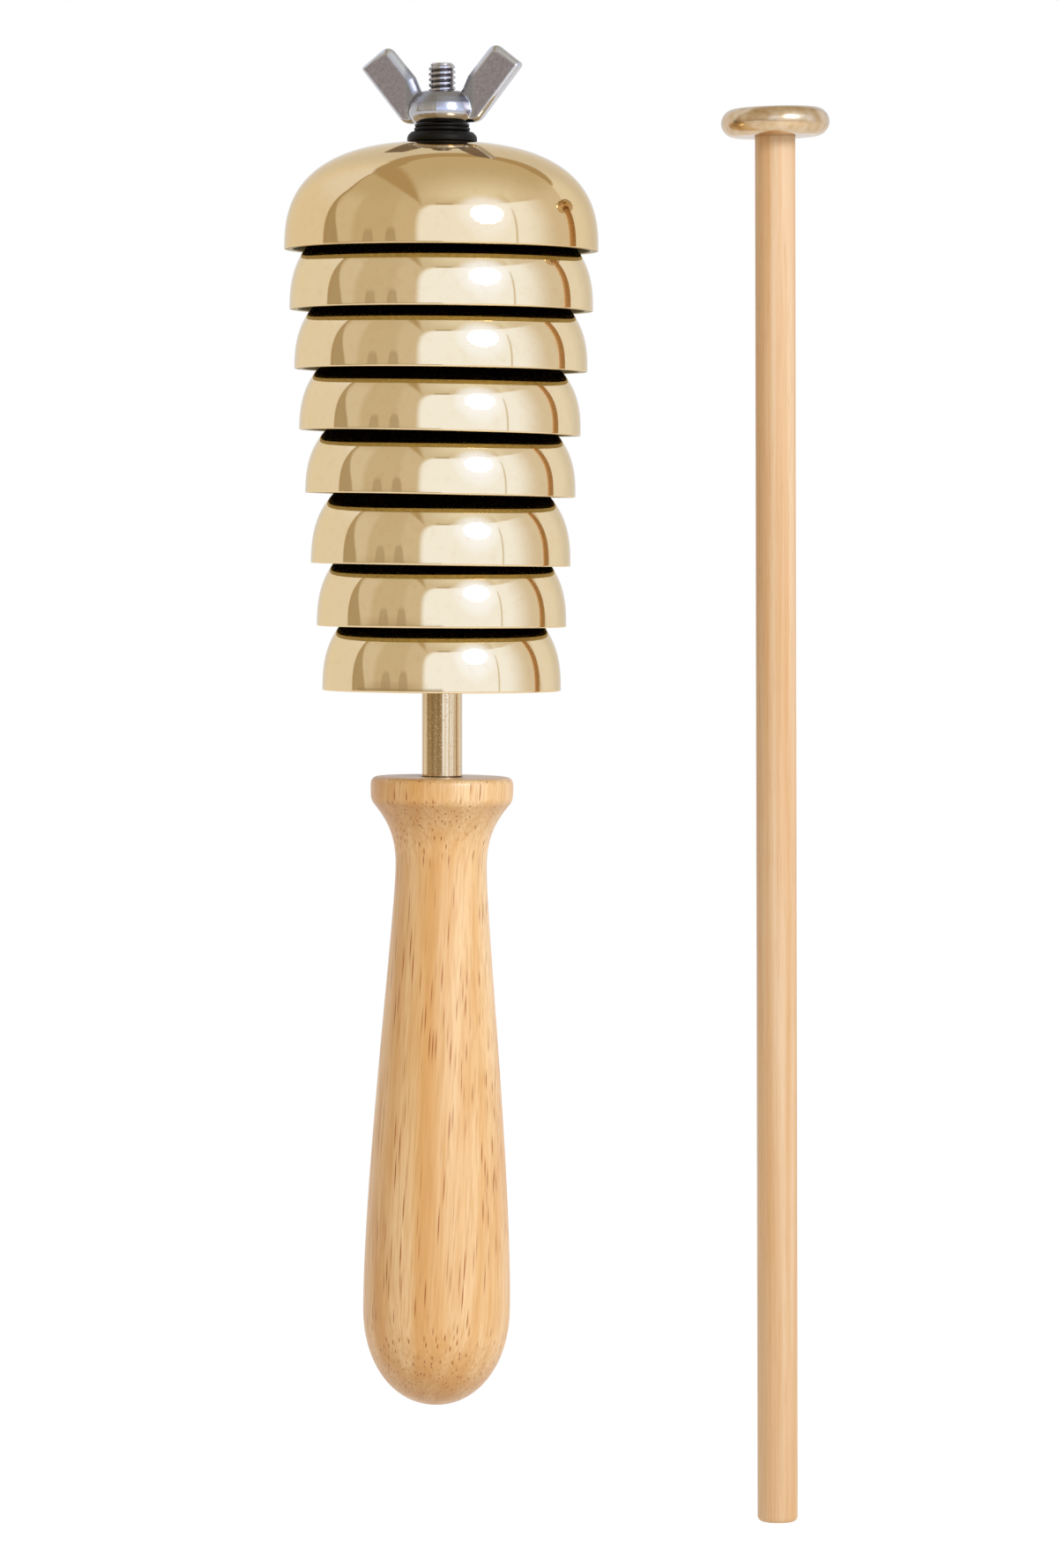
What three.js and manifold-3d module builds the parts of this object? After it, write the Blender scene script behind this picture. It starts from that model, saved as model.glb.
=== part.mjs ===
// A hand-held bell tree: eight cup-shaped bells nested on one spindle above a turned wooden handle,
// held by a wing nut, with its striker beside it. Millimetres, +Z up along the spindle, and the origin
// at the middle of the hand's grip. The front of the object faces -Y.
import * as THREE from "three";
import { mergeVertices } from "three/addons/utils/BufferGeometryUtils.js";
import Module from "manifold-3d";

const wasm = await Module();
wasm.setup();

// Clearances
const seatGap = 0.2; // between pieces stacked on the spindle
const boreGap = 0.2; // round a shaft in its hole, on the radius
const rubberBoreGap = 0.3; // round the spindle in a grommet that leans with its bell
const grooveGap = 0.2; // between a bell's crown and each flange of its grommet
const cutOverrun = 2; // how far a drill runs past the face it enters
const weldDistance = 0.0001; // corners nearer than this are one corner

// Bells: the largest is at the top, and each is a dome whose outline is a superellipse
const bellCount = 8;
const topBellDiameter = 74.2;
const topBellHeight = 25.4;
const bellDiameterShares = [1, 0.966, 0.933, 0.896, 0.86, 0.826, 0.794, 0.759];
const bellHeightShares = [1, 0.96, 0.918, 0.899, 0.879, 0.927, 0.9, 0.896];
const bellLeanDegrees = [0.4, 0.45, 0.7, 1.35, 1.1, 0.85, 0.35, 0.3];
const domePower = 2.6;
const bellWall = 2;
const bellHoleRadius = 5.7;
const crownFlatRadius = 9;
const rimBevel = 0.7;
const domeOuterSteps = 7;
const domeInnerSteps = 4;
const bellSides = 32;

// Rubber grommet in each bell's hole, and the sleeves between the bells
const flangeRadius = 8.25;
const flangeTopRadius = 7.3;
const flangeThickness = 2.3;
const flangeEdgeShare = 0.55;
const spacerLength = 7.8;
const spacerRadius = 5.5;
const smallPartSides = 16;

// Spindle rod with its 1/4-20 thread
const threadDiameter = 6.35;
const threadPitch = 1.27;
const threadDepth = 0.75;
const threadCrestShare = 0.2;
const threadSides = 16;
const studShow = 6.6; // stands out above the wing nut's hub
const studEndBevel = 0.55;
const threadBelowNut = 1.5;

// Support tube between the handle and the lowest bell
const tubeDiameter = 9.525;
const tubeRise = 37;
const tubeInHandle = 20;
const baseWasherRadius = 8;
const baseWasherThickness = 1.2;
const roundPartSides = 24;

// Threaded insert in the handle
const insertRadius = 4.9;
const insertLength = 18;
const rodBelowInsert = 8;
const boreBelowRod = 3;

// Handle, turned in one piece
const handleLength = 148;
const handleRadius = 17.35;
const handleLeanDegrees = 0.6;
const gripHeight = 65; // from the butt to the middle of the grip
const buttRise = 23; // height of the butt's dome
const buttPower = 2.1;
const buttSteps = 6;
const neckRadius = 10.75;
const neckHeight = 127;
const taperBellyShare = 0.31; // of the taper's length, where it still runs straight up
const taperNeckShare = 0.115;
const collarRadius = 16.75;
const collarHeight = 5.6;
const collarEdgeRadius = 1.5;
const coveFootShare = 0.49; // of the rise from the neck to the collar
const coveLipShares = [0.41, 0.73]; // of the collar's reach past the neck, and of the rise
const handleSides = 32;
const handleBodySteps = 8;
const handleCoveSteps = 5;
const edgeSteps = 2;

// Washer under the nut, and the wing nut
const nutWasherRadius = 6.6;
const nutWasherThickness = 1.7;
const nutWasherEdge = 0.5;
const hubBaseRadius = 6.5;
const hubRadius = 8.15;
const hubHeight = 7.5;
const hubFlareHeight = 2.3;
const hubBandHeight = 0.8;
const hubTopRadius = 4.4;
const hubSteps = 4;
const wingReach = 20.5; // from the axis to the tip
const wingHeight = 18.6; // from the hub's base to the top of the wing
const wingThickness = 3.4;
const wingEdgeBevel = 0.7;
const wingTurnDegrees = -20;
// Corners of a wing from its foot round to its root, as shares of the reach and of the height.
// The third share is how much of the shorter side beside it each corner's rounding takes.
const wingCornerShares = [
  [0.225, 0, 0],
  [0.49, 0, 0.4],
  [1.008, 0.722, 0.1],
  [0.665, 1.028, 0.2],
  [0.34, 0.64, 0.45],
  [0.263, 0.4, 0.1],
  [0.225, 0.3, 0],
];
const wingCornerSteps = 3;

// Striker
const strikerOffset = 79; // from the spindle to the stick's axis
const strikerDrop = 27.5; // how far its butt lies below the handle's
const strikerLength = 333.1;
const stickDiameter = 9.5;
const stickButtBevel = 1.2;
const headRadius = 12.8;
const headThickness = 6.7;
const headSocketDepth = 4.5;
const headLeanDegrees = -1.4;
const headEdgeSteps = 6;

// Places along the spindle, counted from the handle's butt and stacked upwards
const tubeTop = handleLength + tubeRise;
const tubeBottom = handleLength - tubeInHandle;
const baseWasherTop = tubeTop + seatGap + baseWasherThickness;
const lowestCrown = baseWasherTop + seatGap + flangeThickness + grooveGap + bellWall;
const crownPitch = bellWall + 2 * (grooveGap + flangeThickness + seatGap) + spacerLength;
const topCrown = lowestCrown + (bellCount - 1) * crownPitch;
const nutWasherBottom = topCrown + grooveGap + flangeThickness + seatGap;
const nutBase = nutWasherBottom + nutWasherThickness + seatGap;
const rodTop = nutBase + hubHeight + studShow;
const insertTop = tubeBottom - seatGap;
const rodBottom = insertTop - insertLength - rodBelowInsert;
const rodRadius = threadDiameter / 2;
const looseBoreRadius = rodRadius + boreGap;

const finishes = {
  bellBrass: { color: 0xd9bd84, metalness: 1, roughness: 0.08 },
  tubeBrass: { color: 0xc9a867, metalness: 1, roughness: 0.25 },
  headBrass: { color: 0xcdb07a, metalness: 1, roughness: 0.3 },
  nickel: { color: 0xb9b6b4, metalness: 1, roughness: 0.2 },
  steel: { color: 0x9c9a98, metalness: 1, roughness: 0.35 },
  rubber: { color: 0x1c1a1a, metalness: 0, roughness: 0.6 },
  nylon: { color: 0x2a2a2c, metalness: 0, roughness: 0.45 },
  handleWood: { color: 0xd9a35c, metalness: 0, roughness: 0.4 },
  stickWood: { color: 0xe0b07a, metalness: 0, roughness: 0.5 },
};

const radians = THREE.MathUtils.degToRad;

function piece(name, geometry, finish) {
  const mesh = new THREE.Mesh(geometry, new THREE.MeshStandardMaterial(finishes[finish]));
  mesh.name = name;
  return mesh;
}

// Turns an outline of [radius, height] points about +Z. The outline runs up the outside.
function turned(outline, sides) {
  const points = outline.map(([radius, height]) => new THREE.Vector2(radius, height));
  return new THREE.LatheGeometry(points, sides).rotateX(Math.PI / 2);
}

// A ring between two radii and two heights, with its outer top edge bevelled.
function ring(bore, radius, bottom, top, bevel, sides) {
  const outline = [
    [bore, bottom],
    [radius, bottom],
    [radius, top - bevel],
    [radius - bevel, top],
    [bore, top],
    [bore, bottom],
  ];
  return turned(bevel > 0 ? outline : outline.filter((point, i) => i !== 2), sides);
}

// A plain round solid, used as a drill.
function drill(radius, bottom, top, sides) {
  const outline = [
    [0, bottom],
    [radius, bottom],
    [radius, top],
    [0, top],
  ];
  return solidOf(turned(outline, sides));
}

// A closed mesh as a solid for joining and cutting, and back.
function solidOf(geometry) {
  const bare = geometry.clone();
  bare.deleteAttribute("normal");
  bare.deleteAttribute("uv");
  const merged = mergeVertices(bare, weldDistance);
  return new wasm.Manifold(
    new wasm.Mesh({
      numProp: 3,
      vertProperties: new Float32Array(merged.attributes.position.array),
      triVerts: new Uint32Array(merged.index.array),
    }),
  );
}

function geometryOf(solid) {
  const mesh = solid.getMesh();
  const geometry = new THREE.BufferGeometry();
  geometry.setAttribute("position", new THREE.BufferAttribute(mesh.vertProperties, 3));
  geometry.setIndex(new THREE.BufferAttribute(mesh.triVerts, 1));
  geometry.computeVertexNormals();
  return geometry;
}

// Dome outline from the rim up to the crown's flat and its hole, as [radius, height] points.
// The height is that of the flat.
function domeOutline(radius, height, firstHeight, steps) {
  const flatShare = (crownFlatRadius / radius) ** domePower;
  const fullHeight = height / (1 - flatShare) ** (1 / domePower);
  const firstAngle = Math.asin((firstHeight / fullHeight) ** (domePower / 2));
  const lastAngle = Math.acos(flatShare ** 0.5);
  const dome = Array.from({ length: steps + 1 }, (_, i) => {
    const angle = firstAngle + ((lastAngle - firstAngle) * i) / steps;
    return [
      radius * Math.cos(angle) ** (2 / domePower),
      fullHeight * Math.sin(angle) ** (2 / domePower),
    ];
  });
  return [...dome, [bellHoleRadius, height]];
}

// A bell, with its crown's upper face at zero height.
function bellGeometry(radius, height) {
  const outer = domeOutline(radius, height, rimBevel, domeOuterSteps);
  const inner = domeOutline(radius - bellWall, height - bellWall, 0, domeInnerSteps);
  const outline = [inner[0], [radius - rimBevel, 0], ...outer, ...inner.slice().reverse()];
  return turned(
    outline.map(([r, z]) => [r, z - height]),
    bellSides,
  );
}

// The grommet in a bell's hole, with the crown's upper face at zero height.
function grommetGeometry() {
  const bore = rodRadius + rubberBoreGap;
  const neck = bellHoleRadius - boreGap;
  const upper = grooveGap;
  const lower = -bellWall - grooveGap;
  const outline = [
    [bore, lower - flangeThickness],
    [flangeTopRadius, lower - flangeThickness],
    [flangeRadius, lower - flangeThickness * flangeEdgeShare],
    [flangeRadius, lower],
    [neck, lower],
    [neck, upper],
    [flangeRadius, upper],
    [flangeRadius, upper + flangeThickness * flangeEdgeShare],
    [flangeTopRadius, upper + flangeThickness],
    [bore, upper + flangeThickness],
    [bore, lower - flangeThickness],
  ];
  return turned(outline, smallPartSides);
}

function bellStack() {
  const stack = new THREE.Group();
  for (let i = 0; i < bellCount; i++) {
    const crown = topCrown - i * crownPitch;
    const radius = (topBellDiameter / 2) * bellDiameterShares[i];
    const bell = bellGeometry(radius, topBellHeight * bellHeightShares[i]);
    const leaning = new THREE.Group();
    leaning.position.z = crown;
    leaning.rotation.y = radians(bellLeanDegrees[i]);
    leaning.add(
      piece(`bell_${i + 1}`, bell, "bellBrass"),
      piece(`grommet_${i + 1}`, grommetGeometry(), "rubber"),
    );
    stack.add(leaning);
    if (i === bellCount - 1) continue;
    const spacerTop = crown - bellWall - grooveGap - flangeThickness - seatGap;
    const spacerBottom = spacerTop - spacerLength;
    const sleeve = ring(looseBoreRadius, spacerRadius, spacerBottom, spacerTop, 0, smallPartSides);
    stack.add(piece(`spacer_${i + 1}`, sleeve, "nylon"));
  }
  return stack;
}

// The thread's surface is one strip of rows that climb a pitch in each turn, closed by end caps
// and cut to length. Each turn of the strip has a root, a flank, a crest and a flank.
function threadSolid(bottom, top) {
  const turns = Math.ceil((top - bottom) / threadPitch) + 2;
  const flankShare = (1 - threadCrestShare) / 2;
  const section = [
    [rodRadius - threadDepth, 0],
    [rodRadius, flankShare],
    [rodRadius, 1 - flankShare],
  ];
  const start = bottom - threadPitch;
  const positions = [];
  const columns = turns * threadSides;
  for (let i = 0; i <= columns; i++) {
    const angle = (i / threadSides) * 2 * Math.PI;
    for (const [radius, share] of section) {
      const height = start + (i / threadSides + share) * threadPitch;
      positions.push(radius * Math.cos(angle), radius * Math.sin(angle), height);
    }
  }
  const rows = section.length;
  const at = (i, k) => (k < rows ? i * rows + k : (i + threadSides) * rows + k - rows);
  const faces = [];
  for (let i = 0; i < columns; i++) {
    for (let k = 0; k < rows; k++) {
      if (k === rows - 1 && i + 1 + threadSides > columns) continue;
      faces.push(at(i, k), at(i + 1, k), at(i + 1, k + 1));
      faces.push(at(i, k), at(i + 1, k + 1), at(i, k + 1));
    }
  }
  // The two open edges are loops of one turn each, and the axis closes each one.
  const lowEdge = [];
  const highEdge = [];
  for (let i = 0; i <= threadSides; i++) lowEdge.push(at(i, 0));
  for (let i = columns - threadSides; i <= columns; i++) highEdge.push(at(i, rows - 1));
  lowEdge.push(...[2, 1].map((k) => at(0, k)));
  highEdge.push(...[1, 0].map((k) => at(columns, k)));
  const lowCentre = positions.length / 3;
  positions.push(0, 0, start);
  const highCentre = lowCentre + 1;
  positions.push(0, 0, start + (turns + 1) * threadPitch);
  lowEdge.forEach((v, i) => faces.push(lowCentre, lowEdge[(i + 1) % lowEdge.length], v));
  highEdge.forEach((v, i) => faces.push(highCentre, v, highEdge[(i + 1) % highEdge.length]));
  const geometry = new THREE.BufferGeometry();
  geometry.setAttribute("position", new THREE.Float32BufferAttribute(positions, 3));
  geometry.setIndex(faces);
  return solidOf(geometry);
}

// The rod is plain inside the stack and threaded where the nut runs, with a bevelled end.
function spindleRod() {
  const threadBottom = nutWasherBottom - threadBelowNut;
  const outline = [
    [0, threadBottom],
    [threadDiameter, threadBottom],
    [threadDiameter, rodTop - threadDiameter / 2 - studEndBevel],
    [rodRadius - studEndBevel, rodTop],
    [0, rodTop],
  ];
  const envelope = solidOf(turned(outline, threadSides));
  const thread = threadSolid(threadBottom, rodTop).intersect(envelope);
  const plain = drill(rodRadius, rodBottom, threadBottom, threadSides);
  return piece("spindle_rod", geometryOf(plain.add(thread)), "steel");
}

function supportTube() {
  const tube = ring(looseBoreRadius, tubeDiameter / 2, tubeBottom, tubeTop, 0, roundPartSides);
  return piece("support_tube", tube, "tubeBrass");
}

function baseWasher() {
  const bottom = baseWasherTop - baseWasherThickness;
  const washer = ring(looseBoreRadius, baseWasherRadius, bottom, baseWasherTop, 0, roundPartSides);
  return piece("base_washer", washer, "steel");
}

function handleInsert() {
  const insert = ring(
    looseBoreRadius,
    insertRadius - boreGap,
    insertTop - insertLength,
    insertTop,
    0,
    roundPartSides,
  );
  return piece("handle_insert", insert, "tubeBrass");
}

// The handle's outline from the butt to its top face: a dome, a long taper, a cove and a collar.
function handleOutline() {
  const butt = Array.from({ length: buttSteps }, (_, i) => {
    const angle = (i / buttSteps) * (Math.PI / 2);
    return [
      handleRadius * Math.sin(angle) ** (2 / buttPower),
      buttRise * (1 - Math.cos(angle) ** (2 / buttPower)),
    ];
  });
  const taperLength = neckHeight - buttRise;
  const taper = new THREE.CubicBezierCurve(
    new THREE.Vector2(handleRadius, buttRise),
    new THREE.Vector2(handleRadius, buttRise + taperLength * taperBellyShare),
    new THREE.Vector2(neckRadius, neckHeight - taperLength * taperNeckShare),
    new THREE.Vector2(neckRadius, neckHeight),
  );
  const collarBottom = handleLength - collarHeight;
  const coveRise = collarBottom - neckHeight;
  const coveDepth = collarRadius - neckRadius;
  const cove = new THREE.CubicBezierCurve(
    new THREE.Vector2(neckRadius, neckHeight),
    new THREE.Vector2(neckRadius, neckHeight + coveRise * coveFootShare),
    new THREE.Vector2(
      neckRadius + coveDepth * coveLipShares[0],
      neckHeight + coveRise * coveLipShares[1],
    ),
    new THREE.Vector2(collarRadius, collarBottom),
  );
  const edge = new THREE.EllipseCurve(
    collarRadius - collarEdgeRadius,
    handleLength - collarEdgeRadius,
    collarEdgeRadius,
    collarEdgeRadius,
    0,
    Math.PI / 2,
  );
  return [
    ...butt,
    ...taper.getPoints(handleBodySteps).map(({ x, y }) => [x, y]),
    ...cove.getPoints(handleCoveSteps).slice(1).map(({ x, y }) => [x, y]),
    ...edge.getPoints(edgeSteps).map(({ x, y }) => [x, y]),
    [0, handleLength],
  ];
}

// The turned blank leans a little from the spindle, whose hole is drilled straight.
function handle() {
  const blank = turned(handleOutline(), handleSides)
    .translate(0, 0, -handleLength)
    .rotateY(radians(handleLeanDegrees))
    .translate(0, 0, handleLength);
  const mouth = handleLength + cutOverrun;
  const tubeBore = drill(tubeDiameter / 2 + 2 * boreGap, insertTop, mouth, roundPartSides);
  const insertBore = drill(insertRadius, insertTop - insertLength - seatGap, mouth, roundPartSides);
  const rodBore = drill(looseBoreRadius, rodBottom - boreBelowRod, mouth, roundPartSides);
  const bored = solidOf(blank).subtract(tubeBore).subtract(insertBore).subtract(rodBore);
  return piece("handle", geometryOf(bored), "handleWood");
}

function nutWasher() {
  const washer = ring(
    looseBoreRadius,
    nutWasherRadius,
    nutWasherBottom,
    nutWasherBottom + nutWasherThickness,
    nutWasherEdge,
    roundPartSides,
  );
  return piece("nut_washer", washer, "rubber");
}

// One wing in the plane of the nut's axis: a plate with a square tip, whose root lies in the hub.
function wingSolid() {
  const corners = wingCornerShares.map(
    ([reach, height]) => new THREE.Vector2(reach * wingReach, height * wingHeight),
  );
  const outline = corners.flatMap((corner, i) => {
    const round = wingCornerShares[i][2];
    if (round === 0) return [corner];
    const before = corners[i - 1].clone().sub(corner);
    const after = corners[i + 1].clone().sub(corner);
    const side = round * Math.min(before.length(), after.length());
    const curve = new THREE.QuadraticBezierCurve(
      corner.clone().add(before.setLength(side)),
      corner,
      corner.clone().add(after.setLength(side)),
    );
    return curve.getPoints(wingCornerSteps);
  });
  const shape = new THREE.Shape(outline);
  const flat = new THREE.ExtrudeGeometry(shape, {
    depth: wingThickness - 2 * wingEdgeBevel,
    bevelEnabled: true,
    bevelThickness: wingEdgeBevel,
    bevelSize: wingEdgeBevel,
    bevelOffset: -wingEdgeBevel,
    bevelSegments: 1,
  });
  return solidOf(flat.translate(0, 0, wingEdgeBevel - wingThickness / 2).rotateX(Math.PI / 2));
}

function wingNut() {
  const bandTop = hubFlareHeight + hubBandHeight;
  const shoulder = Array.from({ length: hubSteps + 1 }, (_, i) => {
    const angle = (i / hubSteps) * (Math.PI / 2);
    return [
      hubTopRadius + (hubRadius - hubTopRadius) * Math.cos(angle),
      bandTop + (hubHeight - bandTop) * Math.sin(angle),
    ];
  });
  const outline = [
    [0, 0],
    [hubBaseRadius, 0],
    [hubRadius, hubFlareHeight],
    ...shoulder,
    [0, hubHeight],
  ];
  const wing = wingSolid();
  const hub = solidOf(turned(outline, roundPartSides));
  const bore = drill(looseBoreRadius, -cutOverrun, hubHeight + cutOverrun, threadSides);
  const nutSolid = hub.add(wing).add(wing.rotate([0, 0, 180])).subtract(bore);
  const nut = piece("wing_nut", geometryOf(nutSolid), "nickel");
  nut.position.z = nutBase;
  nut.rotation.z = radians(wingTurnDegrees);
  return nut;
}

// The striker stands beside the bell tree: a dowel with a round-edged disc on its top end.
function striker() {
  const group = new THREE.Group();
  group.position.set(strikerOffset, 0, -strikerDrop);
  const headBottom = strikerLength - headThickness;
  const stickRadius = stickDiameter / 2;
  const stickTop = headBottom + headSocketDepth - seatGap;
  const stick = turned(
    [
      [0, 0],
      [stickRadius - stickButtBevel, 0],
      [stickRadius, stickButtBevel],
      [stickRadius, stickTop],
      [0, stickTop],
    ],
    roundPartSides,
  );
  const edgeRadius = headThickness / 2;
  const edge = Array.from({ length: headEdgeSteps + 1 }, (_, i) => {
    const angle = (i / headEdgeSteps - 0.5) * Math.PI;
    return [
      headRadius - edgeRadius + edgeRadius * Math.cos(angle),
      edgeRadius + edgeRadius * Math.sin(angle),
    ];
  });
  const socket = stickRadius + boreGap;
  const outline = [
    [0, headSocketDepth],
    [socket, headSocketDepth],
    [socket, 0],
    ...edge,
    [0, headThickness],
  ];
  const head = piece("striker_head", turned(outline, bellSides), "headBrass");
  head.position.z = headBottom;
  head.rotation.y = radians(headLeanDegrees);
  group.add(piece("striker_stick", stick, "stickWood"), head);
  return group;
}

const bellTree = new THREE.Group();
bellTree.position.z = -gripHeight;
bellTree.add(
  handle(),
  handleInsert(),
  spindleRod(),
  supportTube(),
  baseWasher(),
  bellStack(),
  nutWasher(),
  wingNut(),
  striker(),
);

const part = new THREE.Group();
part.add(bellTree);

export default part;
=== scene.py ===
"""The looks of a hand-held bell tree and its striker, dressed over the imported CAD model.

Tables and outlines are in millimetres and Blender's own lengths are in metres. +Z runs up the
spindle, the front faces -Y, and the origin is the middle of the hand's grip.
"""

import math

import bmesh
import bpy
from mathutils import Matrix, Vector
from mathutils.geometry import interpolate_bezier


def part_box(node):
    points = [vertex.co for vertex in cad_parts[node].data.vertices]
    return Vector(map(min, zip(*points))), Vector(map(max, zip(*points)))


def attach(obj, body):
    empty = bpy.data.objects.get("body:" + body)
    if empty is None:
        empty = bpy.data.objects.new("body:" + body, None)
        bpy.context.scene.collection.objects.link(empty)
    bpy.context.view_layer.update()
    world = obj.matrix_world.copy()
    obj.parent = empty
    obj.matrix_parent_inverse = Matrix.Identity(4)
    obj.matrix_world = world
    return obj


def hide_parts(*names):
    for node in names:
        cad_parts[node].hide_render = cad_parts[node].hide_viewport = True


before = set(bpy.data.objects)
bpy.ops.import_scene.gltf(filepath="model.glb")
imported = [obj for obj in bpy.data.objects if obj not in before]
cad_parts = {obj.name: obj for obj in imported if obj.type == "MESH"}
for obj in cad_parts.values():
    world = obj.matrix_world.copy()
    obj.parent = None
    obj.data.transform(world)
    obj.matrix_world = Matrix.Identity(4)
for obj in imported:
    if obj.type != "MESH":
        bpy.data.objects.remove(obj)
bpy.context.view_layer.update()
scene = bpy.context.scene

MM = 0.001
FULL_TURN = 2 * math.pi

# Bells, from the largest at the top: diameter, height, and lean to the right in degrees
BELLS = [
    (74.20, 25.40, 0.40),
    (71.68, 24.38, 0.45),
    (69.23, 23.32, 0.70),
    (66.48, 22.83, 1.35),
    (63.81, 22.33, 1.10),
    (61.29, 23.55, 0.85),
    (58.91, 22.86, 0.35),
    (56.32, 22.76, 0.30),
]
DOME_POWER = 2.6
BELL_WALL = 2.0
BELL_HOLE_RADIUS = 5.7
CROWN_FLAT_RADIUS = 9.0
RIM_ROUND = 0.25
# The trimmed edge reaches this far up inside
RIM_BAND = 1.4
# What sits on the rod has a bore of this radius
ROD_BORE = 3.375

# Heights on the spindle in the part's own frame, and leans and turns in degrees
CROWN_PITCH = 15.2
TOP_CROWN = 232.5
HANDLE_TOP = 83.0
HANDLE_LEAN = 0.6
NUT_BASE = 237.1
NUT_TURN = -20.0
ROD_FOOT = 36.8
ROD_TOP = 251.2
THREAD_FOOT = 232.0
THREAD_PITCH = 1.27

# The striker stands beside the bell tree
STRIKER_OFFSET = 79.0
STRIKER_LEAN = -0.11
HEAD_OFFSET = 78.68
HEAD_FOOT = 233.9
HEAD_LEAN = -1.5

FLOOR_HEIGHT = -170.0
# The direction of the lamp, as the bells show it
LAMP_SIDE = (0.530, -0.743, 0.409)
# The studio's walls: where each starts and ends in degrees to the right of the front, how soft
# its sides are, and its colour
WALLS = [
    (-90, -67, 4, (0.86, 0.82, 0.75)),
    (-67, -35, 6, (0.76, 0.70, 0.58)),
    (-35, 60, 3, (0.82, 0.77, 0.68)),
    (66, 150, 8, (0.89, 0.87, 0.85)),
]


# ---- Making meshes


def turned(corners, steps=96):
    """Turns an outline of (radius, height) corners into a solid, as a lathe does.

    A third number on a corner rounds it by that radius. An outline that starts off the axis
    is a closed ring. Each point keeps its distance along the outline, which the tool marks follow.
    """
    bm = bmesh.new()
    run = bm.verts.layers.float.new("run_mm")
    points = [bm.verts.new((corner[0] * MM, 0, corner[1] * MM)) for corner in corners]
    travelled = 0.0
    for before, here in zip(points, points[1:]):
        bm.edges.new((before, here))
        travelled += (here.co - before.co).length / MM
        here[run] = travelled
    if corners[0][0] > 0:
        bm.edges.new((points[-1], points[0]))
    for point, corner in zip(points, corners):
        if len(corner) == 3:
            bmesh.ops.bevel(
                bm,
                geom=[point],
                offset=corner[2] * MM,
                offset_type="OFFSET",
                segments=4,
                profile=0.5,
                affect="VERTICES",
                material=-1,
            )
    bmesh.ops.spin(
        bm,
        geom=bm.verts[:] + bm.edges[:],
        cent=(0, 0, 0),
        axis=(0, 0, 1),
        angle=FULL_TURN,
        steps=steps,
        use_merge=True,
    )
    return bm


def loose(bm, name):
    """A mesh on an object of its own, with its doubles merged and its faces turned outwards."""
    bmesh.ops.remove_doubles(bm, verts=bm.verts, dist=0.0001 * MM)
    bmesh.ops.recalc_face_normals(bm, faces=bm.faces)
    mesh = bpy.data.meshes.new(name)
    bm.to_mesh(mesh)
    bm.free()
    piece = bpy.data.objects.new(name, mesh)
    scene.collection.objects.link(piece)
    return piece


def settled(bm, name, body, finishes, nodes, place=None, sharp=35):
    """Puts a finished mesh in the place of its CAD nodes, on the body that carries it."""
    if place:
        bmesh.ops.transform(bm, matrix=place, verts=bm.verts)
    piece = loose(bm, name)
    piece.data.shade_smooth()
    piece.data.set_sharp_from_angle(angle=math.radians(sharp))
    for finish in finishes:
        piece.data.materials.append(finish)
    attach(piece, body)
    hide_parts(*nodes)
    return piece


def evened(piece):
    """Lets each long face keep its own direction of shine beside a small rounded edge."""
    weights = piece.modifiers.new("even_shine", "WEIGHTED_NORMAL")
    weights.keep_sharp = True
    return piece


def upright(x, z, lean=0.0):
    """A place on the XZ plane, leaning to the right by some degrees."""
    return Matrix.Translation((x * MM, 0, z * MM)) @ Matrix.Rotation(math.radians(lean), 4, "Y")


# ---- Finishes


def linear(hex_colour):
    """The linear colour of an sRGB hex value."""
    channels = [int(hex_colour[i : i + 2], 16) / 255 for i in (1, 3, 5)]
    return [c / 12.92 if c <= 0.04045 else ((c + 0.055) / 1.055) ** 2.4 for c in channels] + [1.0]


def set_inputs(node, inputs):
    """Sets a node's inputs. Each is a value, an sRGB hex colour or another node's output."""
    for key, value in inputs.items():
        if isinstance(value, bpy.types.NodeSocket):
            node.id_data.links.new(value, node.inputs[key])
        else:
            node.inputs[key].default_value = linear(value) if isinstance(value, str) else value


def add_node(tree, kind, inputs=None, **settings):
    """Adds a node with its own settings, inputs and links."""
    node = tree.nodes.new(kind)
    for name, value in settings.items():
        setattr(node, name, value)
    set_inputs(node, inputs or {})
    return node


def new_finish(name, **values):
    """A material with one Principled shader, whose constant values are set on its own sockets.

    The last item that it returns is the place on the piece, which the patterns read.
    """
    finish = bpy.data.materials.new(name)
    finish.use_nodes = True
    tree = finish.node_tree
    shader = tree.nodes["Principled BSDF"]
    set_inputs(shader, {key.replace("_", " "): value for key, value in values.items()})
    return finish, tree, shader, add_node(tree, "ShaderNodeTexCoord").outputs["Object"]


def mottled_finish(name, scale, detail, colours, hazes, **values):
    """A new finish with one fine mottling, which both its colour and its roughness follow."""
    finish, tree, shader, place = new_finish(name, **values)
    mottling = add_node(
        tree, "ShaderNodeTexNoise", {"Vector": place, "Scale": scale, "Detail": detail}
    ).outputs["Fac"]
    colour = add_node(
        tree, "ShaderNodeMix", {0: mottling, 6: colours[0], 7: colours[1]}, data_type="RGBA"
    ).outputs[2]
    haze = add_node(
        tree, "ShaderNodeMapRange", {"Value": mottling, "To Min": hazes[0], "To Max": hazes[1]}
    ).outputs[0]
    set_inputs(shader, {"Base Color": colour, "Roughness": haze})
    return finish, tree, shader, place


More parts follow.
